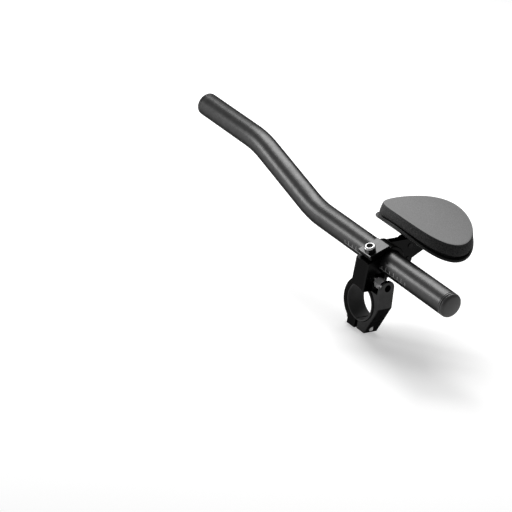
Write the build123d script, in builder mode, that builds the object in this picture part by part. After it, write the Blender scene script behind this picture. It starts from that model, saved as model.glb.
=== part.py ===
"""Clip-on aero handlebar extension for the rider's right side. Millimetres.

Origin: middle of the handlebar clamp's bore. +X runs along the handlebar, outboard.
+Y points forward along the extension tube. +Z points up.
"""
import math
import os

from build123d import *

# Handlebar clamp
bar_d = 31.8
liner_t = 1.2
liner_w = 18.0
liner_gap = 1.0
saddle_wall = 5.0
saddle_w = 19.0
split_gap = 1.5
lug_reach = 10.5
lug_below_bolt = 4.2
cap_w = 15.5
cap_wall = 4.4
cap_bevel_z = 3.8
cap_lean = 2.4
ear_t = 3.4
ear_above_bolt = 6.0
ear_corner_r = 6.5
nut_room = 1.0
upper_bolt_z = 22.6
lower_bolt_z = -21.5

# Bracket casting
tower_inboard = 15.7
tower_outboard = 10.0
bracket_d = 17.5
tower_edge_r = 1.2
casting_edge = 0.6
pocket_top = 31.0
pocket_floor = 0.0
pocket_clearance = 0.6

# Extension tube
tube_d = 22.2
tube_wall = 2.0
tube_x = 9.0
tube_z = 40.0
tail_len = 88.2
rear_run = 173.6
bend_r = 96.0
bend_deg = 15.4
middle_run = 72.0
front_run = 72.7
slide_clearance = 0.05
tube_end_chamfer = 0.5

# Plugs in the tube's ends
plug_stem = 15.0
plug_wall = 1.8
plug_floor = 3.0
groove_w = 0.6
groove_deep = 0.5
rear_collar = 1.6
rear_dome = 3.6
front_collar = 1.0
front_dome = 2.2

# Extension clamp: ring, slit and pinch lip
ring_wall = 4.0
lip_tilt = 21.0
lip_inboard = 19.2
lip_outboard = 2.4
lip_t = 4.8
bore_chamfer = 0.8
slit_w = 2.0
slit_height = 10.2
pinch_x = 14.1
pinch_y = -2.0
pinch_depth = 7.0

# Six millimetre socket screws of both clamps
screw_d = 6.0
screw_clearance = 0.3
head_d = 10.0
head_h = 6.0
key_size = 5.0
key_depth = 3.0
head_recess = 5.0
recess_clearance = 0.4
upper_tip_inset = 2.5
lower_tip_inset = 0.8
nut_size = 9.0
nut_h = 9.2
nut_turn = 15.0
washer_d = 12.0
washer_t = 1.0

# Side plate of the bracket that carries the armrest arm
plate_t = 5.5
plate_end = 45.5
plate_top = 53.5
plate_bottom = 27.5
plate_corner_r = 4.0

# Armrest arm: web in front of the side plate, flange under the cup
web_t = 5.0
web_start = 30.0
web_step = 2.5
web_tip_h = 12.0
flange_t = 4.2
flange_gap = 0.5
flange_len = 28.0
flange_rear = 16.0
flange_corner_r = 5.0
arm_top = 55.0

# Five millimetre screws of the arm and of the cup
small_d = 5.0
small_clearance = 0.25
small_head_d = 9.0
small_head_h = 2.6
small_key = 3.0
small_key_depth = 1.5
small_washer_d = 10.0
small_washer_t = 1.0
arm_tip_proud = 0.6
arm_screw_inset = 5.5
arm_screw_low_z = 33.0
arm_screw_pitch = 13.0
slot_travel = 6.0
cup_head_h = 1.4
cup_key_depth = 0.7
cup_seat = 1.0
cup_screw_inset = 7.0
cup_screw_pitch = 13.0
small_nut_size = 8.0
small_nut_h = 4.0
cup_screw_past_nut = 1.5

# Armrest: oval troughs, from the foam down to the cup, which is bent tighter than the foam.
# Their lowest line lies inboard of the ovals' middle, so the outboard edge stands higher.
pad_x = 49.5
pad_y = -1.0
rest_r = 55.0
pad_half_w = 31.4
pad_half_l = 48.4
foam_t = 10.4
under_r = 52.5
loop_t = 1.6
hook_t = 1.6
sheet_inset = 3.0
wall_lean = 0.2
trough_shift = 2.0
cup_r = 47.5
cup_t = 2.4
rim_r = 0.8
cup_y = 0.0
cup_half_w = 35.1
cup_half_l = 51.4
boss_margin = 2.0
boss_w = 24.0
boss_h = 9.0
trim_allowance = 2.0
through = 60.0

# Sizes that follow from the ones above
bar_r = bar_d / 2
saddle_r = bar_r + liner_t
bracket_half = bracket_d / 2
lug_bottom = lower_bolt_z - lug_below_bolt
ear_top = upper_bolt_z + ear_above_bolt
cap_rear = -(saddle_r + cap_wall)
ear_front = cap_rear + ear_t
lug_foot = split_gap / 2 + lug_reach
cap_front = -(bracket_half + split_gap)
nut_corner_r = nut_size / math.sqrt(3)
cap_shelf = upper_bolt_z - nut_corner_r - nut_room
pocket_half = nut_corner_r + pocket_clearance
cap_bend = cap_rear - cap_lean
bevel_share = (cap_bevel_z - lower_bolt_z) / (cap_bevel_z - lug_bottom)
lower_tip = cap_bend - bevel_share * (cap_bend + lug_foot) + lower_tip_inset
tube_r = tube_d / 2
bore_r = tube_r + slide_clearance
ring_r = bore_r + ring_wall
lip_under = slit_height + slit_w
lip_top = lip_under + lip_t
screw_r = screw_d / 2
screw_hole_r = screw_r + screw_clearance
small_hole_r = small_d / 2 + small_clearance
web_front = bracket_half + web_t
flange_start = plate_end + flange_gap
flange_end = flange_start + flange_len
arm_screw_x = plate_end - arm_screw_inset
cup_screw_x = flange_start + cup_screw_inset
cup_floor = arm_top + cup_t
loop_floor = cup_floor + hook_t
foam_floor = loop_floor + loop_t
rest_z = foam_floor + foam_t
sheet_half_w = pad_half_w - sheet_inset
sheet_half_l = pad_half_l - sheet_inset

# Planes that several pieces share
tilt = math.radians(lip_tilt)
lip_up = Vector(-math.sin(tilt), 0, math.cos(tilt))
lip_out = Vector(math.cos(tilt), 0, math.sin(tilt))
lip_face = Plane(origin=(tube_x, 0, tube_z), x_dir=lip_out, z_dir=(0, -1, 0))
rest_face = Plane(origin=(pad_x - trough_shift, 0, 0), x_dir=(1, 0, 0), z_dir=(0, -1, 0))
forward = (0, 1, 0)
upper_seat_y = bracket_half - head_recess
upper_bolt_seat = Plane(origin=(0, upper_seat_y, upper_bolt_z), x_dir=(1, 0, 0), z_dir=forward)
lower_bolt_seat = Plane(origin=(0, lug_foot, lower_bolt_z), x_dir=(1, 0, 0), z_dir=forward)
pinch_seat = Plane(
    origin=Vector(tube_x, pinch_y, tube_z) + lip_up * lip_top - lip_out * pinch_x,
    x_dir=(0, 1, 0),
    z_dir=lip_up,
)
arm_screw_spots = [(arm_screw_x, arm_screw_low_z + arm_screw_pitch * i) for i in range(2)]
cup_screw_spots = [(cup_screw_x + cup_screw_pitch * i, pad_y) for i in range(2)]

os.makedirs("parts", exist_ok=True)


def write(part, name):
    """Label a finished piece and write it to its own file."""
    part.label = name
    export_step(part, f"parts/{name}.step")


def socket_screw(seat, shank_d, shank_len, top_d, top_h, key, key_deep):
    """Socket screw whose head stands on the seat plane and whose shank runs below it."""
    with BuildPart() as screw:
        with BuildSketch(seat):
            Circle(top_d / 2)
        extrude(amount=top_h)
        chamfer(screw.edges().group_by(Axis(seat.origin, seat.z_dir))[-1], length=top_h / 10)
        with BuildSketch(seat.offset(top_h)):
            RegularPolygon(key / 2, 6, major_radius=False)
        extrude(amount=-key_deep, mode=Mode.SUBTRACT)
        with BuildSketch(seat):
            Circle(shank_d / 2)
        extrude(amount=-shank_len)
    return screw.part


def flat_ring(seat, outer_d, inner_d, height):
    """Plain washer that lies on the seat plane."""
    with BuildPart() as ring:
        with BuildSketch(seat):
            Circle(outer_d / 2)
            Circle(inner_d / 2, mode=Mode.SUBTRACT)
        extrude(amount=height)
    return ring.part


def hex_nut(seat, size, inner_d, height, turn):
    """Hexagon nut that lies on the seat plane, its corners turned off at both ends."""
    corner_r = size / math.sqrt(3)
    with BuildPart() as nut:
        with BuildSketch(seat):
            Circle(corner_r)
        extrude(amount=height)
        chamfer(nut.edges(), length=(corner_r - size / 2) / 2, length2=corner_r - size / 2)
        with BuildSketch(seat):
            RegularPolygon(size / 2, 6, major_radius=False, rotation=turn)
            Circle(inner_d / 2, mode=Mode.SUBTRACT)
        extrude(amount=height, mode=Mode.INTERSECT)
    return nut.part


def bent_oval(middle_y, half_w, half_l, upper_r, upper_z, lower_r, lower_z):
    """Oval trough along Y between two arcs, each given by its radius and its lowest height."""
    side_z = upper_z + upper_r - math.sqrt(upper_r**2 - (half_w + trough_shift) ** 2)
    high_z = side_z + trim_allowance
    low_z = lower_z - trim_allowance
    with BuildPart() as sheet:
        with BuildSketch(rest_face.offset(-middle_y)):
            with Locations((0, lower_z + lower_r)):
                Circle(lower_r)
                Rectangle(2 * lower_r, lower_r, align=(Align.CENTER, Align.MAX), mode=Mode.INTERSECT)
            with Locations((0, upper_z + upper_r)):
                Circle(upper_r, mode=Mode.SUBTRACT)
        extrude(amount=half_l + through, both=True)
        with BuildSketch(Plane((pad_x, middle_y, high_z))) as high:
            Ellipse(half_w + wall_lean * (side_z - high_z), half_l + wall_lean * (upper_z - high_z))
        with BuildSketch(Plane((pad_x, middle_y, low_z))) as low:
            Ellipse(half_w + wall_lean * (side_z - low_z), half_l + wall_lean * (upper_z - low_z))
        loft([high.sketch, low.sketch], ruled=True, mode=Mode.INTERSECT)
    return sheet.part


def end_plug(origin, into_tube, collar, dome):
    """Moulded plug: hollow stem in the tube, collar on its end, groove, domed cap outside."""
    stem_r = tube_r - tube_wall
    seat = Plane(origin=origin, x_dir=(1, 0, 0), z_dir=(0, 0, into_tube))
    brow = -collar - groove_w
    with BuildPart() as plug:
        with BuildSketch(seat):
            with BuildLine():
                Polyline((0, plug_stem), (stem_r, plug_stem), (stem_r, 0), (tube_r, 0), (tube_r, brow))
                EllipticalCenterArc((0, brow), tube_r, dome, start_angle=-90, arc_size=90)
                Line((0, brow - dome), (0, plug_stem))
            make_face()
            with Locations((tube_r, (brow - collar) / 2)):
                Rectangle(2 * groove_deep, groove_w, mode=Mode.SUBTRACT)
        revolve(axis=Axis(origin, (0, 1, 0)))
        with BuildSketch(Plane(origin=seat.from_local_coords((0, plug_floor, 0)), z_dir=seat.y_dir)):
            Circle(stem_r - plug_wall)
        extrude(amount=plug_stem, mode=Mode.SUBTRACT)
    return plug.part


# Extension tube: straight tail, two opposite bends, straight tip
with BuildPart() as extension_tube:
    with BuildLine(Plane.YZ.offset(tube_x)) as route:
        tail = Line((-tail_len, tube_z), (rear_run - tail_len, tube_z))
        rise = JernArc(start=tail @ 1, tangent=tail % 1, radius=bend_r, arc_size=bend_deg)
        slope = Line(rise @ 1, rise @ 1 + (rise % 1) * middle_run)
        level = JernArc(start=slope @ 1, tangent=slope % 1, radius=bend_r, arc_size=-bend_deg)
        Line(level @ 1, level @ 1 + (level % 1) * front_run)
    with BuildSketch(Plane(origin=route.line @ 0, x_dir=(1, 0, 0), z_dir=forward)):
        Circle(tube_r)
        Circle(tube_r - tube_wall, mode=Mode.SUBTRACT)
    sweep(path=route.line)
    tube_ends = [extension_tube.faces().sort_by(Axis.Y)[i] for i in (0, -1)]
    chamfer([end.edges().sort_by(SortBy.LENGTH)[-1] for end in tube_ends], length=tube_end_chamfer)
write(extension_tube.part, "extension_tube")

tube_front = route.line @ 1
write(end_plug((tube_x, -tail_len, tube_z), 1, rear_collar, rear_dome), "rear_end_plug")
write(end_plug(tube_front, -1, front_collar, front_dome), "front_end_plug")

# Blocks of the bracket casting, each with its edges broken: tower that stands on the bar
with BuildPart() as tower:
    with BuildSketch(Plane.XZ):
        with Locations((-tower_inboard, 0)):
            Rectangle(tower_inboard + tower_outboard, tube_z + slit_height, align=Align.MIN)
    extrude(amount=bracket_half, both=True)
    fillet(tower.edges().filter_by(Axis.Z), radius=tower_edge_r)
    with BuildSketch(lip_face):
        with Locations((0, slit_height)):
            Rectangle(2 * through, through, align=(Align.CENTER, Align.MIN))
    extrude(amount=bracket_half, both=True, mode=Mode.SUBTRACT)

# Ring round the tube
with BuildPart() as tube_ring:
    with BuildSketch(lip_face):
        Circle(ring_r)
    extrude(amount=bracket_half, both=True)
    chamfer(tube_ring.edges().filter_by(GeomType.CIRCLE), length=casting_edge)

# Pinch lip above the slit
with BuildPart() as pinch_lip:
    with BuildSketch(lip_face):
        with Locations((-lip_inboard, lip_under)):
            Rectangle(lip_inboard + lip_outboard, lip_t, align=Align.MIN)
    extrude(amount=bracket_half, both=True)
    chamfer(pinch_lip.edges(), length=casting_edge)

# Side plate that carries the armrest arm
with BuildPart() as side_plate:
    with BuildSketch(Plane.XZ.offset(-bracket_half)):
        with Locations((tube_x, plate_bottom)):
            side = Rectangle(plate_end - tube_x, plate_top - plate_bottom, align=Align.MIN)
        fillet(side.vertices().group_by(Axis.X)[-1], radius=plate_corner_r)
    extrude(amount=plate_t)
    chamfer(side_plate.faces().sort_by(Axis.Y)[0].edges(), length=casting_edge)

# Front half of the handlebar saddle, with its lug
with BuildPart() as saddle:
    with BuildSketch(Plane.YZ):
        with Locations((split_gap / 2, 0)):
            Rectangle(2 * through, 2 * through, align=(Align.MIN, Align.CENTER))
        Circle(saddle_r + saddle_wall, mode=Mode.INTERSECT)
        with Locations((split_gap / 2, lug_bottom)):
            Rectangle(lug_reach, -lug_bottom, align=Align.MIN)
    extrude(amount=saddle_w / 2, both=True)
    saddle_sides = saddle.faces().filter_by(Axis.X)
    chamfer(saddle_sides.edges(), length=casting_edge)

# Bracket casting: the blocks joined, then bored, slit and drilled
with BuildPart() as clamp_bracket:
    add([tower.part, tube_ring.part, pinch_lip.part, side_plate.part, saddle.part])
    with BuildSketch(Plane.YZ):
        Circle(saddle_r)
    extrude(amount=through, both=True, mode=Mode.SUBTRACT)
    with BuildSketch(lip_face):
        Circle(bore_r)
        with Locations((0, slit_height)):
            Rectangle(through, slit_w, align=(Align.MAX, Align.MIN))
    extrude(amount=bracket_half, both=True, mode=Mode.SUBTRACT)
    for end in (-1, 1):
        with BuildSketch(Plane(origin=(tube_x, end * bracket_half, tube_z), z_dir=(0, -end, 0))):
            Circle(bore_r + bore_chamfer)
        extrude(amount=bore_chamfer, taper=45, mode=Mode.SUBTRACT)
    with BuildSketch(Plane.XZ.offset(-pocket_floor)):
        Rectangle(2 * pocket_half, pocket_top, align=(Align.CENTER, Align.MIN))
    extrude(amount=bracket_half, mode=Mode.SUBTRACT)
    with BuildSketch(upper_bolt_seat):
        Circle(screw_hole_r)
    extrude(amount=-through, mode=Mode.SUBTRACT)
    with BuildSketch(upper_bolt_seat):
        Circle(head_d / 2 + recess_clearance)
    extrude(amount=through, mode=Mode.SUBTRACT)
    with BuildSketch(lower_bolt_seat):
        Circle(screw_hole_r)
    extrude(amount=-lug_reach, mode=Mode.SUBTRACT)
    with BuildSketch(lower_bolt_seat):
        Circle(washer_d / 2 + recess_clearance)
    extrude(amount=through, mode=Mode.SUBTRACT)
    with BuildSketch(pinch_seat):
        Circle(screw_hole_r)
    extrude(amount=-lip_t, mode=Mode.SUBTRACT)
    with BuildSketch(pinch_seat.offset(-lip_t - slit_w)):
        Circle(screw_r)
    extrude(amount=-pinch_depth, mode=Mode.SUBTRACT)
    with BuildSketch(Plane.XZ.offset(-bracket_half)):
        with Locations(arm_screw_spots):
            Circle(small_d / 2)
    extrude(amount=plate_t, mode=Mode.SUBTRACT)
write(clamp_bracket.part, "clamp_bracket")

# Rear cap of the handlebar clamp: ear at the top, bevelled lug at the bottom
with BuildPart() as bar_clamp_cap:
    with BuildSketch(Plane.YZ):
        with BuildLine():
            Polyline(
                (cap_rear, ear_top),
                (ear_front, ear_top),
                (ear_front, cap_shelf),
                (cap_front, cap_shelf),
                (cap_front, 0),
                (-split_gap / 2, 0),
                (-split_gap / 2, lug_bottom),
                (-lug_foot, lug_bottom),
                (cap_bend, cap_bevel_z),
                close=True,
            )
        make_face()
        Circle(saddle_r, mode=Mode.SUBTRACT)
    extrude(amount=cap_w / 2, both=True)
    fillet(bar_clamp_cap.edges().filter_by(Axis.Y).group_by(Axis.Z)[-1], radius=ear_corner_r)
    cap_sides = bar_clamp_cap.faces().filter_by(Axis.X)
    chamfer(cap_sides.edges(), length=casting_edge)
    with BuildSketch(Plane(origin=(0, ear_front, upper_bolt_z), x_dir=(1, 0, 0), z_dir=forward)):
        Circle(screw_hole_r)
    extrude(amount=-ear_t - cap_lean, mode=Mode.SUBTRACT)
    with BuildSketch(lower_bolt_seat):
        Circle(screw_r)
    extrude(amount=-through, mode=Mode.SUBTRACT)
write(bar_clamp_cap.part, "bar_clamp_cap")

# Rubber liners between the clamp and the bar
for liner_name, liner_side in (("front_bar_liner", 1), ("rear_bar_liner", -1)):
    with BuildPart() as bar_liner:
        with BuildSketch(Plane.YZ):
            Circle(saddle_r)
            Circle(bar_r, mode=Mode.SUBTRACT)
            with Locations((liner_side * (liner_gap / 2 + saddle_r), 0)):
                Rectangle(2 * saddle_r, 2 * saddle_r, mode=Mode.INTERSECT)
        extrude(amount=liner_w / 2, both=True)
    write(bar_liner.part, liner_name)

# Screws of the two clamps
upper_bolt_len = upper_seat_y - cap_rear - upper_tip_inset
upper_bar_bolt = socket_screw(upper_bolt_seat, screw_d, upper_bolt_len, head_d, head_h, key_size, key_depth)
write(upper_bar_bolt, "upper_bar_bolt")
ear_seat = Plane(origin=(0, ear_front, upper_bolt_z), x_dir=(1, 0, 0), z_dir=forward)
write(hex_nut(ear_seat, nut_size, screw_d, nut_h, nut_turn), "upper_bar_nut")

lower_bolt_len = washer_t + lug_foot - lower_tip
write(flat_ring(lower_bolt_seat, washer_d, screw_d, washer_t), "lower_bar_washer")
lower_head_seat = lower_bolt_seat.offset(washer_t)
lower_bar_bolt = socket_screw(lower_head_seat, screw_d, lower_bolt_len, head_d, head_h, key_size, key_depth)
write(lower_bar_bolt, "lower_bar_bolt")

pinch_len = lip_t + slit_w + pinch_depth
pinch_bolt = socket_screw(pinch_seat, screw_d, pinch_len, head_d, head_h, key_size, key_depth)
write(pinch_bolt, "pinch_bolt")

# Armrest arm: upright web with slots, level flange that the cup sits on
with BuildPart() as armrest_arm:
    with BuildSketch(Plane.XZ.offset(-web_front)):
        with BuildLine():
            Polyline(
                (web_start, plate_bottom),
                (flange_start, plate_bottom),
                (flange_end, arm_top - web_tip_h),
                (flange_end, arm_top),
                (flange_start, arm_top),
                (flange_start, plate_top - web_step),
                (web_start, plate_top - web_step),
                close=True,
            )
        make_face()
    extrude(amount=web_t)
    chamfer(armrest_arm.faces().sort_by(Axis.Y)[-1].edges(), length=casting_edge)
    with BuildSketch(Plane.XZ.offset(-web_front)):
        with Locations(arm_screw_spots):
            SlotCenterToCenter(slot_travel, 2 * small_hole_r)
    extrude(amount=web_t, mode=Mode.SUBTRACT)
    with BuildSketch(Plane.XY.offset(arm_top)):
        with Locations((flange_start, pad_y - flange_rear)):
            Rectangle(flange_len, web_front - pad_y + flange_rear, align=Align.MIN)
    extrude(amount=-flange_t)
    fillet(armrest_arm.edges().filter_by(Axis.Z).group_by(Axis.Y)[0], radius=flange_corner_r)
    with BuildSketch(Plane.XY.offset(arm_top)):
        with Locations(cup_screw_spots):
            Circle(small_hole_r)
    extrude(amount=-flange_t, mode=Mode.SUBTRACT)
write(armrest_arm.part, "armrest_arm")

# Screws that hold the arm to the side plate
arm_screw_len = small_washer_t + web_t + plate_t + arm_tip_proud
arm_screws = []
arm_washers = []
for screw_x, screw_z in arm_screw_spots:
    arm_seat = Plane(origin=(screw_x, web_front, screw_z), x_dir=(1, 0, 0), z_dir=forward)
    arm_washers.append(flat_ring(arm_seat, small_washer_d, small_d, small_washer_t))
    seat = arm_seat.offset(small_washer_t)
    head = (small_head_d, small_head_h, small_key, small_key_depth)
    arm_screws.append(socket_screw(seat, small_d, arm_screw_len, *head))
write(Compound(children=arm_screws), "arm_screws")
write(Compound(children=arm_washers), "arm_washers")

# Armrest cup: bent oval dish with a flat boss under it
with BuildPart() as armrest_cup:
    add(bent_oval(cup_y, cup_half_w, cup_half_l, cup_r, cup_floor, cup_r + cup_t, arm_top))
    fillet(armrest_cup.edges(), radius=rim_r)
    with BuildSketch(Plane.XY.offset(arm_top)):
        with Locations((flange_start + flange_len / 2, pad_y)):
            RectangleRounded(flange_len - 2 * boss_margin, boss_w, flange_corner_r)
    extrude(amount=boss_h)
    with BuildSketch(rest_face):
        with Locations((0, cup_floor + cup_r)):
            Circle(cup_r)
    extrude(amount=through, both=True, mode=Mode.SUBTRACT)
    with BuildSketch(Plane.XY.offset(arm_top)):
        with Locations(cup_screw_spots):
            Circle(small_hole_r)
    extrude(amount=cup_seat, mode=Mode.SUBTRACT)
    with BuildSketch(Plane.XY.offset(arm_top + cup_seat)):
        with Locations(cup_screw_spots):
            Circle(small_head_d / 2 + recess_clearance)
    extrude(amount=boss_h, mode=Mode.SUBTRACT)
write(armrest_cup.part, "armrest_cup")

# Screws and nuts that hold the cup to the flange
cup_screw_len = cup_seat + flange_t + small_nut_h + cup_screw_past_nut
cup_screws = []
cup_nuts = []
for screw_x, screw_y in cup_screw_spots:
    seat = Plane((screw_x, screw_y, arm_top + cup_seat))
    cup_screw = socket_screw(seat, small_d, cup_screw_len, small_head_d, cup_head_h, small_key, cup_key_depth)
    cup_screws.append(cup_screw)
    nut_seat = Plane((screw_x, screw_y, arm_top - flange_t - small_nut_h))
    cup_nuts.append(hex_nut(nut_seat, small_nut_size, small_d, small_nut_h, 0))
write(Compound(children=cup_screws), "cup_screws")
write(Compound(children=cup_nuts), "cup_nuts")

# Hook sheet on the cup, loop sheet under the foam, foam pad
hook_sheet = bent_oval(pad_y, sheet_half_w, sheet_half_l, under_r, loop_floor, cup_r, cup_floor)
write(hook_sheet, "hook_sheet")
loop_sheet = bent_oval(pad_y, sheet_half_w, sheet_half_l, under_r, foam_floor, under_r, loop_floor)
write(loop_sheet, "loop_sheet")
foam_pad = bent_oval(pad_y, pad_half_w, pad_half_l, rest_r, rest_z, under_r, foam_floor)
write(foam_pad, "foam_pad")
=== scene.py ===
"""Looks of the clip-on aero handlebar extension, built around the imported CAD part.

Blender works in metres. The part's sizes are written in millimetres, as in its CAD source.
"""
import math

import bpy
from mathutils import Matrix, Vector


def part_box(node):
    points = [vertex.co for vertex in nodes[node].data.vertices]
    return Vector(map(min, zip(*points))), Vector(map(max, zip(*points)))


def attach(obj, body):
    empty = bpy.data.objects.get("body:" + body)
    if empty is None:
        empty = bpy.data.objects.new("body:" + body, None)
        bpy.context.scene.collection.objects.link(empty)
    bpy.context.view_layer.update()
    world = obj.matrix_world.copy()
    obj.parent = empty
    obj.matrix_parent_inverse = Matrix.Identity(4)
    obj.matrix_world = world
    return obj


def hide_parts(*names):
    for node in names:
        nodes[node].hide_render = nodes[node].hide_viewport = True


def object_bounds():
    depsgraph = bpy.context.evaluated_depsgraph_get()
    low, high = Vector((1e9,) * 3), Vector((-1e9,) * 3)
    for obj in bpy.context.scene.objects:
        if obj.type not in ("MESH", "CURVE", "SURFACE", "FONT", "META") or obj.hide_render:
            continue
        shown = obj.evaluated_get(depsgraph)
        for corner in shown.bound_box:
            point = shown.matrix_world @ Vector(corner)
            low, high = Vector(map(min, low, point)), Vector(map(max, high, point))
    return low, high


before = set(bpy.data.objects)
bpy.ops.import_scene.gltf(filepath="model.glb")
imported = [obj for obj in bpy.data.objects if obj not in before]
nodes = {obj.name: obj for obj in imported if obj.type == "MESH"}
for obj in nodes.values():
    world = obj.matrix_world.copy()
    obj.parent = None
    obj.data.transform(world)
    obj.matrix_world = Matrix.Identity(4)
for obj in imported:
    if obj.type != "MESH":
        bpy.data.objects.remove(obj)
cad_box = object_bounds()
MM = 0.001
FULL_TURN = 2 * math.pi
WHITE = (1, 1, 1, 1)


# Material helpers

# Noise values between which a material's two greys blend
BLEND_START, BLEND_END = 0.3, 0.7
BUMP_STRENGTH = 0.6
# Size of the spots of a material that gives none, as a multiple of its grain
SPOTS_OVER_GRAIN = 12


def grey(value):
    """Colour with one value in all three channels."""
    return (value, value, value)


def material(name, colour, roughness, metallic=0.0, specular=0.5):
    """New node material with plain values; returns it with its tree and its shader."""
    mat = bpy.data.materials.new(name)
    mat.use_nodes = True
    tree = mat.node_tree
    shader = tree.nodes["Principled BSDF"]
    shader.inputs["Base Color"].default_value = (*colour, 1)
    shader.inputs["Roughness"].default_value = roughness
    shader.inputs["Metallic"].default_value = metallic
    shader.inputs["Specular IOR Level"].default_value = specular
    mat.diffuse_color = (*colour, 1)
    return mat, tree, shader


def noise(tree, size, detail):
    """Noise whose features are about size metres across; returns its value socket."""
    coords = tree.nodes.new("ShaderNodeTexCoord")
    texture = tree.nodes.new("ShaderNodeTexNoise")
    texture.inputs["Scale"].default_value = 1 / size
    texture.inputs["Detail"].default_value = detail
    tree.links.new(coords.outputs["Object"], texture.inputs["Vector"])
    return texture.outputs["Fac"]


def blend_greys(tree, value, dark, light):
    """Noise value turned to a colour between two greys."""
    ramp = tree.nodes.new("ShaderNodeValToRGB")
    start, end = ramp.color_ramp.elements
    start.position, end.position = BLEND_START, BLEND_END
    start.color = (*grey(dark), 1)
    end.color = (*grey(light), 1)
    tree.links.new(value, ramp.inputs["Fac"])
    return ramp.outputs["Color"]


def spread(tree, value, low, high):
    """Value from 0 to 1 turned to a number between low and high."""
    span = tree.nodes.new("ShaderNodeMapRange")
    span.inputs["To Min"].default_value = low
    span.inputs["To Max"].default_value = high
    tree.links.new(value, span.inputs["Value"])
    return span.outputs["Result"]


def surface(
    name, dark, light, rough, grain, depth, spots=None, metallic=0.0, specular=0.5, edge=1.0, detail=2.0
):
    """Material with grain in its colour, its roughness and its relief.

    The colour runs from dark to light over the spots, the roughness over the two values of rough.
    Grain, spots and the relief's depth are in millimetres. Edge is the tint at grazing angles.
    """
    mat, tree, shader = material(name, grey((dark + light) / 2), sum(rough) / 2, metallic, specular)
    shader.inputs["Specular Tint"].default_value = (*grey(edge), 1)
    fine = noise(tree, grain * MM, detail)
    coarse = noise(tree, (spots or grain * SPOTS_OVER_GRAIN) * MM, detail)
    tree.links.new(blend_greys(tree, coarse, dark, light), shader.inputs["Base Color"])
    tree.links.new(spread(tree, fine, *rough), shader.inputs["Roughness"])
    relief = tree.nodes.new("ShaderNodeBump")
    relief.inputs["Distance"].default_value = depth * MM
    relief.inputs["Strength"].default_value = BUMP_STRENGTH
    tree.links.new(fine, relief.inputs["Height"])
    tree.links.new(relief.outputs["Normal"], shader.inputs["Normal"])
    return mat


def vector_math(tree, operation, first, second=None):
    """Vector node on a socket and a fixed vector; returns its outputs."""
    node = tree.nodes.new("ShaderNodeVectorMath")
    node.operation = operation
    tree.links.new(first, node.inputs[0])
    if second is not None:
        node.inputs[1].default_value = second
    return node.outputs


def number(tree, operation, first, second=None):
    """Number node on a socket and a second socket or fixed number; returns its output."""
    node = tree.nodes.new("ShaderNodeMath")
    node.operation = operation
    tree.links.new(first, node.inputs[0])
    if isinstance(second, (int, float)):
        node.inputs[1].default_value = second
    elif second is not None:
        tree.links.new(second, node.inputs[1])
    return node.outputs[0]


def from_point(tree, point):
    """Vector from a point of the part, given in millimetres, to the shaded spot."""
    coords = tree.nodes.new("ShaderNodeTexCoord")
    start = [v * MM for v in point]
    return vector_math(tree, "SUBTRACT", coords.outputs["Object"], start)["Vector"]


def along(tree, offset, axis):
    """Length of an offset along an axis."""
    return vector_math(tree, "DOT_PRODUCT", offset, axis)["Value"]


def where(tree, mask, colour):
    """Let a material's base colour become another one where the mask is 1."""
    base = tree.nodes["Principled BSDF"].inputs["Base Color"]
    plain = base.links[0].from_socket
    blend = tree.nodes.new("ShaderNodeMix")
    blend.data_type = "RGBA"
    tree.links.new(mask, blend.inputs["Factor"])
    first, second = [socket for socket in blend.inputs if socket.type == "RGBA"]
    tree.links.new(plain, first)
    second.default_value = (*colour, 1)
    mixed = [socket for socket in blend.outputs if socket.type == "RGBA"][0]
    tree.links.new(mixed, base)


# Metals of the tube, the castings and the small parts; edge darkens a black metal at grazing angles

black_edge = 0.3
anodised = surface(
    "anodised_black", 0.056, 0.068, (0.34, 0.40), grain=0.35, depth=0.01, metallic=1.0, edge=black_edge
)
casting = surface(
    "cast_black", 0.030, 0.038, (0.22, 0.28), grain=0.5, depth=0.02, metallic=1.0, edge=black_edge
)
# The arm's black, darker than the other castings as painted shade under the pad
shaded_casting = surface(
    "cast_black_painted_shade", 0.009, 0.013, (0.24, 0.32), grain=0.5, depth=0.02, metallic=1.0, edge=black_edge
)
black_steel = surface(
    "black_steel", 0.012, 0.020, (0.30, 0.42), grain=0.5, depth=0.02, metallic=1.0, edge=black_edge
)
bright = surface("bright_steel", 0.55, 0.68, (0.18, 0.30), grain=0.4, depth=0.01, metallic=1.0)
nut_steel = surface("nut_steel", 0.74, 0.88, (0.28, 0.40), grain=0.4, depth=0.01, metallic=0.3)

# Plastic, rubber, foam, fastener and print

plastic = surface("plug_plastic", 0.016, 0.022, (0.30, 0.40), grain=0.6, depth=0.02)
cup_plastic = surface("cup_plastic", 0.010, 0.015, (0.40, 0.54), grain=0.8, depth=0.03, specular=0.2)
rubber = surface("liner_rubber", 0.012, 0.018, (0.62, 0.78), grain=0.7, depth=0.05)
hook_loop = surface(
    "hook_and_loop", 0.015, 0.070, (0.80, 0.95), grain=0.5, depth=0.25, spots=0.8, specular=0.2
)
foam_top = surface(
    "foam_face", 0.177, 0.256, (0.82, 0.94), grain=0.45, depth=0.10, spots=0.7, specular=0.2, detail=5.0
)
# The foam's sides, darker than its top: partly the cut foam's own colour, partly painted shade
foam_side = surface(
    "foam_side_colour_and_shade", 0.022, 0.085, (0.85, 0.96), grain=0.8, depth=0.5, spots=1.0, specular=0.15, detail=5.0
)
print_ink = surface("scale_print", 0.34, 0.42, (0.45, 0.60), grain=0.3, depth=0.01, spots=0.5)

# Sizes that several pieces share, as in the CAD part

tube_x, tube_z, tube_r = 9.0, 40.0, 11.1
lip_tilt = math.radians(21)
lip_up = (-math.sin(lip_tilt), 0, math.cos(lip_tilt))
forward = (0, 1, 0)

# Socket screws: middles of the faces under their heads, and sizes of head, key socket and shank

pinch_seat = (-10.26, -2.0, 50.82)
upper_seat = (0, 3.75, 22.6)
lower_seat = (0, 12.25, -21.5)
key_half, key_floor, key_rim_r = 2.5, 3.0, 2.95
head_r, head_side_top = 5.0, 4.5
shank_r, knurl_depth = 3.0, 0.14


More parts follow.
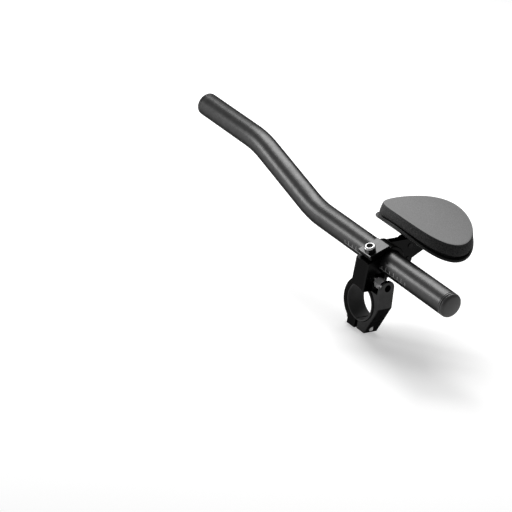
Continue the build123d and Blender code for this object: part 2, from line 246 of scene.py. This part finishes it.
def screw_steel(name, seat, axis, shade_below=None):
    """Bright steel of a socket screw, with painted shade in the key socket, on the knurl and below a
    height.

    Heights are along the axis from the seat.
    """
    # Greys of the painted shade in the key socket and on the knurl
    socket_shade_grey, knurl_shade_grey = 0.03, 0.06
    floor_margin, side_margin, knurl_margin = 0.1, 0.05, 0.3
    mat = surface(name, 0.34, 0.44, (0.16, 0.24), grain=0.4, depth=0.01, metallic=1.0)
    tree = mat.node_tree
    offset = from_point(tree, seat)
    height = along(tree, offset, axis)
    sideways = vector_math(tree, "CROSS_PRODUCT", offset, axis)["Vector"]
    radius = vector_math(tree, "LENGTH", sideways)["Value"]
    # Painted shade down in the key socket
    above_floor = number(tree, "GREATER_THAN", height, (key_floor - floor_margin) * MM)
    in_rim = number(tree, "LESS_THAN", radius, key_rim_r * MM)
    dark = number(tree, "MULTIPLY", in_rim, above_floor)
    # Painted shade on the shank's end, below the given height
    if shade_below is not None:
        at_tip = number(tree, "LESS_THAN", height, shade_below * MM)
        dark = number(tree, "MAXIMUM", dark, at_tip)
    where(tree, dark, grey(socket_shade_grey))
    # Painted shade on the knurled side of the head
    below_edge = number(tree, "LESS_THAN", height, (head_side_top + side_margin) * MM)
    off_axis = number(tree, "GREATER_THAN", radius, (head_r - knurl_margin) * MM)
    where(tree, number(tree, "MULTIPLY", off_axis, below_edge), grey(knurl_shade_grey))
    return mat


pinch_steel = screw_steel("pinch_screw_steel", pinch_seat, lip_up)
upper_steel = screw_steel("upper_screw_steel", upper_seat, forward, shade_below=-21.0)
lower_steel = screw_steel("lower_screw_steel", lower_seat, forward)


def clamp_black(name, lit_top_above, lit_top_half, painted_shade_grey):
    """Casting black of the bracket, lighter on top of the tube clamp as painted light and deep black
    elsewhere as painted shade.
    """
    mat = surface(name, 0.044, 0.054, (0.24, 0.32), grain=0.5, depth=0.02, metallic=1.0, edge=black_edge)
    tree = mat.node_tree
    from_tube = from_point(tree, (tube_x, 0, tube_z))
    below_slit = number(tree, "LESS_THAN", along(tree, from_tube, lip_up), lit_top_above * MM)
    from_middle = number(tree, "ABSOLUTE", along(tree, from_tube, forward))
    on_end = number(tree, "GREATER_THAN", from_middle, lit_top_half * MM)
    # Painted shade: deep black below the slit and towards the clamp's ends, lighter only on its top
    where(tree, number(tree, "MAXIMUM", below_slit, on_end), grey(painted_shade_grey))
    return mat


bracket_black = clamp_black("bracket_black", lit_top_above=11.2, lit_top_half=8.2, painted_shade_grey=0.011)

# CAD nodes that show as they are

finishes = {
    "extension_tube": anodised,
    "clamp_bracket": bracket_black,
    "bar_clamp_cap": casting,
    "armrest_arm": shaded_casting,
    "front_bar_liner": rubber,
    "rear_bar_liner": rubber,
    "arm_screws": black_steel,
    "cup_screws": black_steel,
    "upper_bar_nut": nut_steel,
    "lower_bar_washer": black_steel,
    "arm_washers": black_steel,
    "cup_nuts": black_steel,
    "armrest_cup": cup_plastic,
}
for node_name, node_finish in finishes.items():
    node_mesh = nodes[node_name].data
    node_mesh.materials.clear()
    node_mesh.materials.append(node_finish)


# Piece helpers

def piece(name, body, verts, faces, mats, which=None):
    """Smooth mesh piece that rides on a body; which gives each face's material."""
    mesh = bpy.data.meshes.new(name)
    mesh.from_pydata(verts, [], faces)
    for mat in mats:
        mesh.materials.append(mat)
    if which:
        mesh.polygons.foreach_set("material_index", which)
    mesh.polygons.foreach_set("use_smooth", [True] * len(faces))
    mesh.update()
    obj = bpy.data.objects.new(name, mesh)
    bpy.context.scene.collection.objects.link(obj)
    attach(obj, body)
    return obj


def ring_faces(rows, turns):
    """Faces of a closed skin made of a first point, rows of points in rings and a last point."""
    faces = []
    last = 1 + (rows - 1) * turns
    for i in range(turns):
        j = (i + 1) % turns
        faces.append((0, 1 + i, 1 + j))
        for r in range(rows - 1):
            a, b = 1 + r * turns, 1 + (r + 1) * turns
            faces.append((a + i, b + i, b + j, a + j))
        faces.append((last + i, last + turns, last + j))
    return faces


def spokes(axis, turns):
    """Unit vectors all round an axis."""
    across = axis.orthogonal().normalized()
    other = axis.cross(across)
    angles = [FULL_TURN * k / turns for k in range(turns)]
    return [across * math.cos(angle) + other * math.sin(angle) for angle in angles]


def jitter(index, seed):
    """Repeatable number from -1 to 1."""
    return math.sin(index * 12.9898 + seed * 78.233) * 43758.5453 % 2 - 1


# Armrest layers; an arc is a trough's radius and its lowest height

pad_x, pad_y = 49.5, -1.0
pad_half_w, pad_half_l = 31.4, 48.4
trough_shift = 2.0
sheet_inset = 3.0
foam_face = (55.0, 71.0)
foam_under = (52.5, 60.6)
loop_under = (52.5, 59.0)
cup_face = (47.5, 57.4)


def arc_height(radius, lowest, x):
    """Height of a trough, x away from the oval's middle."""
    return lowest + radius - math.sqrt(radius**2 - (x + trough_shift) ** 2)


def oval_layer(name, half_w, half_l, upper, lower, edge_r, ragged, mats):
    """Closed oval trough between two arcs, with rounded or ragged edges and sides that lean outwards.

    The first material is on the upper face, the last one on the sides and below.
    """
    lean, bow, fit_steps = 0.2, 0.004, 4
    # How far in and down the middle of a round edge is
    mid_edge = 0.3 * edge_r
    face_shares = (0.12, 0.3, 0.48, 0.64, 0.78, 0.9, 0.97)
    wall_shares = (0.25, 0.5, 0.75)
    turns = 144
    angles = [FULL_TURN * i / turns for i in range(turns)]
    side_z = arc_height(*upper, half_w)

    def edge_point(angle, arc, inset, drop, push=0):
        """Point at the edge, whose distance and height depend on each other and are fitted in steps."""
        x = half_w * math.cos(angle)
        for _ in range(fit_steps):
            z = arc_height(*arc, x) - drop
            x = (half_w + lean * (side_z - z) + push - inset) * math.cos(angle)
        y = (half_l + lean * (upper[1] - z) + push - inset) * math.sin(angle)
        return x, y, z

    def edge_ring(arc, inset, drop, seed):
        """Ring of points along the edge, ragged or even."""
        return [
            edge_point(angle, arc, inset, drop, ragged * jitter(i, seed)) for i, angle in enumerate(angles)
        ]

    def face_ring(arc, share):
        """Ring on a face, at a share of the way from its middle to its edge."""
        rim = [edge_point(angle, arc, edge_r, 0) for angle in angles]
        return [(x * share, y * share, arc_height(*arc, x * share)) for x, y, _ in rim]

    def wall_ring(share):
        """Ring on the bowed side, at a share of the way down."""
        points = []
        for i, angle in enumerate(angles):
            top = edge_point(angle, upper, 0, edge_r)
            foot = edge_point(angle, lower, 0, -edge_r)
            x, y, z = [p + (q - p) * share for p, q in zip(top, foot)]
            bulge = 1 + bow * (1 - (2 * share - 1) ** 2) + ragged * jitter(i, 3 + share) / half_w
            points.append((x * bulge, y * bulge, z))
        return points

    rings = [face_ring(upper, share) for share in face_shares]
    rings.append(edge_ring(upper, edge_r, 0, 1))
    rings.append(edge_ring(upper, mid_edge, mid_edge, 2))
    face_rows = len(rings)
    rings.append(edge_ring(upper, 0, edge_r, 3))
    rings += [wall_ring(share) for share in wall_shares]
    rings.append(edge_ring(lower, 0, -edge_r, 4))
    rings.append(edge_ring(lower, mid_edge, -mid_edge, 5))
    rings.append(edge_ring(lower, edge_r, 0, 6))
    rings += [face_ring(lower, share) for share in reversed(face_shares)]

    points = [(0, 0, arc_height(*upper, 0))]
    for ring in rings:
        points += ring
    points.append((0, 0, arc_height(*lower, 0)))
    verts = [((x + pad_x) * MM, (y + pad_y) * MM, z * MM) for x, y, z in points]
    which = [0] * face_rows + [len(mats) - 1] * (len(rings) + 1 - face_rows)
    return piece(name, "clamp_unit", verts, ring_faces(len(rings), turns), mats, which * turns)


foam_pad = oval_layer(
    "foam_cushion", pad_half_w, pad_half_l, foam_face, foam_under,
    edge_r=0.9, ragged=0.0, mats=[foam_top, foam_side],
)
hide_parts("foam_pad")

patch_half_w, patch_half_l = pad_half_w - sheet_inset, pad_half_l - sheet_inset
patch_ragged = 0.35
loop_patch = oval_layer(
    "loop_patch", patch_half_w, patch_half_l, foam_under, loop_under,
    edge_r=0.2, ragged=patch_ragged, mats=[hook_loop],
)
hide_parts("loop_sheet")
hook_patch = oval_layer(
    "hook_patch", patch_half_w, patch_half_l, loop_under, cup_face,
    edge_r=0.1, ragged=patch_ragged, mats=[hook_loop],
)
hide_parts("hook_sheet")

# Printed length scale on the tube: base line and ticks, wrapped round its side; angles in degrees

print_top, print_foot = 0.03, -0.05
scale_start, tick_pitch, tick_count, tick_half = -43.35, 5.3, 17, 0.3
scale_end = scale_start + tick_pitch * (tick_count - 1)
line_top, line_foot, long_top, short_top = 198, 199.6, 177, 182


def wrapped_patch(verts, faces, y0, y1, angle0, angle1):
    """Add a thin closed patch on the tube between two stations and two angles."""
    step_angle = 4
    steps = max(1, round(abs(angle1 - angle0) / step_angle))
    first = len(verts)
    for k in range(steps + 1):
        angle = math.radians(angle0 + (angle1 - angle0) * k / steps)
        for reach in (tube_r + print_top, tube_r + print_foot):
            x = tube_x + reach * math.cos(angle)
            z = tube_z + reach * math.sin(angle)
            verts += [(x * MM, y * MM, z * MM) for y in (y0, y1)]
    for k in range(steps):
        a = first + 4 * k
        b = a + 4
        faces.append((a, a + 1, b + 1, b))
        faces.append((a + 2, b + 2, b + 3, a + 3))
        faces.append((a, b, b + 2, a + 2))
        faces.append((a + 1, a + 3, b + 3, b + 1))
    end = first + 4 * steps
    faces.append((first, first + 2, first + 3, first + 1))
    faces.append((end, end + 1, end + 3, end + 2))


scale_verts, scale_faces = [], []
wrapped_patch(scale_verts, scale_faces, scale_start - tick_half, scale_end + tick_half, line_top, line_foot)
for i in range(tick_count):
    tick_y = scale_start + tick_pitch * i
    tick_top = long_top if i % 2 else short_top
    wrapped_patch(scale_verts, scale_faces, tick_y - tick_half, tick_y + tick_half, tick_top, line_top)
piece("tube_scale", "extension", scale_verts, scale_faces, [print_ink])

# Turned pieces: each row is a height along the axis from the seat, a radius, or none on the hexagon
# of the key socket, and the depth of the knurl


def turned(name, node, body, seat, axis, rows, mat):
    """Closed turned piece in place of a CAD node."""
    turns = 96
    axis, seat = Vector(axis), Vector(seat)
    around = spokes(axis, turns)
    verts = [seat + axis * rows[0][0]]
    for height, radius, knurl in rows:
        for k, spoke in enumerate(around):
            from_corner = FULL_TURN * k / turns % (FULL_TURN / 6)
            hexagon = key_half / math.cos(from_corner - FULL_TURN / 12)
            reach = hexagon if radius is None else radius - knurl * (k % 2)
            verts.append(seat + axis * height + spoke * reach)
    verts.append(seat + axis * rows[-1][0])
    verts = [tuple(v * MM) for v in verts]
    obj = piece(name, body, verts, ring_faces(len(rows), turns), [mat])
    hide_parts(node)


# Socket screws of both clamps: key socket, rounded top, knurled side, shank with a broken tip

head_rows = (
    (key_floor, None, 0),
    (5.6, None, 0),
    (5.88, 3.1, 0),
    (5.96, 3.4, 0),
    (5.84, 4.0, 0),
    (5.52, 4.5, 0),
    (5.08, 4.82, 0),
    (head_side_top + 0.1, head_r, 0),
    (head_side_top, head_r, knurl_depth),
    (0.7, head_r, knurl_depth),
    (0.5, 4.85, 0),
    (0, 4.6, 0),
    (0, shank_r, 0),
)
tip_chamfer = 0.5


def socket_screw(name, node, seat, axis, shank, mat):
    """Socket screw with a rounded and knurled head."""
    tip_rows = ((tip_chamfer - shank, shank_r, 0), (-shank, shank_r - tip_chamfer, 0))
    turned(name, node, "clamp_unit", seat, axis, head_rows + tip_rows, mat)


pinch_shank = 13.8
upper_shank = upper_seat[1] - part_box("upper_bar_bolt")[0][1] / MM
lower_shank = lower_seat[1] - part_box("lower_bar_bolt")[0][1] / MM
socket_screw("pinch_screw", "pinch_bolt", pinch_seat, lip_up, pinch_shank, pinch_steel)
socket_screw("upper_clamp_screw", "upper_bar_bolt", upper_seat, forward, upper_shank, upper_steel)
socket_screw("lower_clamp_screw", "lower_bar_bolt", lower_seat, forward, lower_shank, lower_steel)

# Plugs in the tube's ends: hollow stem, collar, groove and a low dome with a rounded shoulder

stem_r, stem_hollow_r, stem_len, stem_floor = 9.1, 7.3, 15.0, 3.0
groove_w, groove_r, plug_edge = 0.6, 10.6, 0.15
shoulder_share = 0.83
shoulder_angles = range(16, 81, 8)
crown_shares = (0.85, 0.65, 0.45, 0.25, 0.1)


def end_plug(name, node, into_tube, collar, dome):
    """Plug whose stem points into the tube, forwards or backwards."""
    low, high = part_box(node)
    brow = collar + groove_w
    tube_end = low[1] / MM + brow + dome if into_tube > 0 else high[1] / MM - brow - dome
    seat = ((low[0] + high[0]) / 2 / MM, tube_end, (low[2] + high[2]) / 2 / MM)
    rows = [
        (stem_floor, stem_hollow_r, 0),
        (stem_len, stem_hollow_r, 0),
        (stem_len, stem_r, 0),
        (0, stem_r, 0),
        (0, tube_r - plug_edge, 0),
        (-plug_edge, tube_r, 0),
        (plug_edge - collar, tube_r, 0),
        (-collar, tube_r - plug_edge, 0),
        (-collar, groove_r, 0),
        (-brow, groove_r, 0),
        (-brow, tube_r - plug_edge, 0),
    ]
    shoulder = shoulder_share * dome
    for degrees in shoulder_angles:
        turn = math.radians(degrees)
        rows.append((-brow - shoulder * math.sin(turn), tube_r - shoulder * (1 - math.cos(turn)), 0))
    face_height, face_r, _ = rows[-1]
    crown = brow + dome + face_height
    for share in crown_shares:
        rows.append((face_height - crown * (1 - share**2), face_r * share, 0))
    turned(name, node, "extension", seat, (0, into_tube, 0), rows, plastic)


end_plug("rear_plug", "rear_end_plug", into_tube=1, collar=1.6, dome=3.6)
end_plug("front_plug", "front_end_plug", into_tube=-1, collar=1.0, dome=2.2)

# Threads on the bare shanks of the upper bar screw and the pinch screw

thread_root, thread_crest, thread_pitch = 2.9, 3.2, 1.0


def thread(name, base, axis, length):
    """Closed threaded rod from a base point along an axis."""
    turns, pitch_steps = 24, 6
    rows = round(length / thread_pitch * pitch_steps)
    axis, base = Vector(axis).normalized(), Vector(base)
    around = spokes(axis, turns)
    verts, faces = [], []
    for r in range(rows + 1):
        station = length * r / rows
        for k, spoke in enumerate(around):
            phase = (station / thread_pitch - k / turns) % 1
            reach = thread_root + (thread_crest - thread_root) * (1 - abs(2 * phase - 1))
            verts.append(tuple((base + axis * station + spoke * reach) * MM))
    for r in range(rows):
        a, b = r * turns, (r + 1) * turns
        for k in range(turns):
            n = (k + 1) % turns
            faces.append((a + k, a + n, b + n, b + k))
    faces.append(tuple(reversed(range(turns))))
    faces.append(tuple(rows * turns + k for k in range(turns)))
    piece(name, "clamp_unit", verts, faces, [bright])


slit_depth, slit_height = 6.7, 1.8
upper_thread_end = (0, -8.8, 22.6)
pinch_thread_end = Vector(pinch_seat) - slit_depth * Vector(lip_up)
thread("upper_screw_thread", upper_thread_end, forward, length=8.7)
thread("pinch_screw_thread", pinch_thread_end, lip_up, length=slit_height)


# Floor and world: both glow for the rays that show them, and light matte surfaces less

def shown(tree):
    """1 for the rays that show a thing to the eye, straight, mirrored or through glass."""
    path = tree.nodes.new("ShaderNodeLightPath").outputs
    mirrored = number(tree, "MAXIMUM", path["Is Glossy Ray"], path["Is Transmission Ray"])
    return number(tree, "MAXIMUM", path["Is Camera Ray"], mirrored)


floor_gap, floor_half = 0.0002, 6.0
floor_albedo, floor_glow = 0.82, 0.42
sky_light, sky_glow = 0.1, 0.5

floor_z = cad_box[0][2] - floor_gap
floor_corners = [(-1, -1), (1, -1), (1, 1), (-1, 1)]
floor_verts = [(x * floor_half, y * floor_half, floor_z) for x, y in floor_corners]
floor_mesh = bpy.data.meshes.new("floor")
floor_mesh.from_pydata(floor_verts, [], [(0, 1, 2, 3)])
floor = bpy.data.objects.new("floor", floor_mesh)
bpy.context.scene.collection.objects.link(floor)
floor_mat, floor_tree, floor_shader = material(
    "pale_floor", grey(floor_albedo), roughness=0.9, specular=0.1
)
floor_shader.inputs["Emission Color"].default_value = WHITE
floor_emission = spread(floor_tree, shown(floor_tree), 0.0, floor_glow)
floor_tree.links.new(floor_emission, floor_shader.inputs["Emission Strength"])
floor_mesh.materials.append(floor_mat)

world = bpy.data.worlds.new("studio")
world.use_nodes = True
sky_tree = world.node_tree
sky = sky_tree.nodes["Background"]
sky.inputs["Color"].default_value = WHITE
sky_strength = spread(sky_tree, shown(sky_tree), sky_light, sky_glow)
sky_tree.links.new(sky_strength, sky.inputs["Strength"])
bpy.context.scene.world = world

# Lamps, in metres and watts

lamp_aim = Vector((0.02, -0.03, 0.03))
lamp_distance = 1.0


def softbox(name, direction, size, power):
    """Rectangular area lamp that looks at the part from a direction."""
    lamp = bpy.data.lights.new(name, "AREA")
    lamp.shape = "RECTANGLE"
    lamp.size, lamp.size_y = size
    lamp.energy = power
    box = bpy.data.objects.new(name, lamp)
    box.visible_camera = False
    box.location = lamp_aim + Vector(direction).normalized() * lamp_distance
    box.rotation_euler = (lamp_aim - box.location).to_track_quat("-Z", "Y").to_euler()
    bpy.context.scene.collection.objects.link(box)


softbox("top_softbox", direction=(0.26, 0.52, 0.79), size=(0.84, 0.56), power=12.2)
softbox("front_left_softbox", direction=(-0.73, 0.62, 0.20), size=(0.22, 0.31), power=3.0)

# Camera at the photograph's viewing angle: its place in metres and the directions of its frame

camera_spot = (-1.22132, -1.30512, 0.86667)
right = Vector((0.804323, -0.572379, 0.159523))
down = Vector((-0.133836, -0.436086, -0.889897))
away = Vector((0.578924, 0.694414, -0.427359))
lens = bpy.data.cameras.new("camera")
lens.sensor_width = 36.0
lens.lens = 160.26
lens.clip_start = 0.05
lens.clip_end = 50.0
camera = bpy.data.objects.new("camera", lens)
camera_axes = Matrix((right, -down, -away)).transposed().to_4x4()
camera.matrix_world = Matrix.Translation(camera_spot) @ camera_axes
bpy.context.scene.collection.objects.link(camera)
bpy.context.scene.camera = camera
bpy.context.scene.view_settings.view_transform = "Standard"
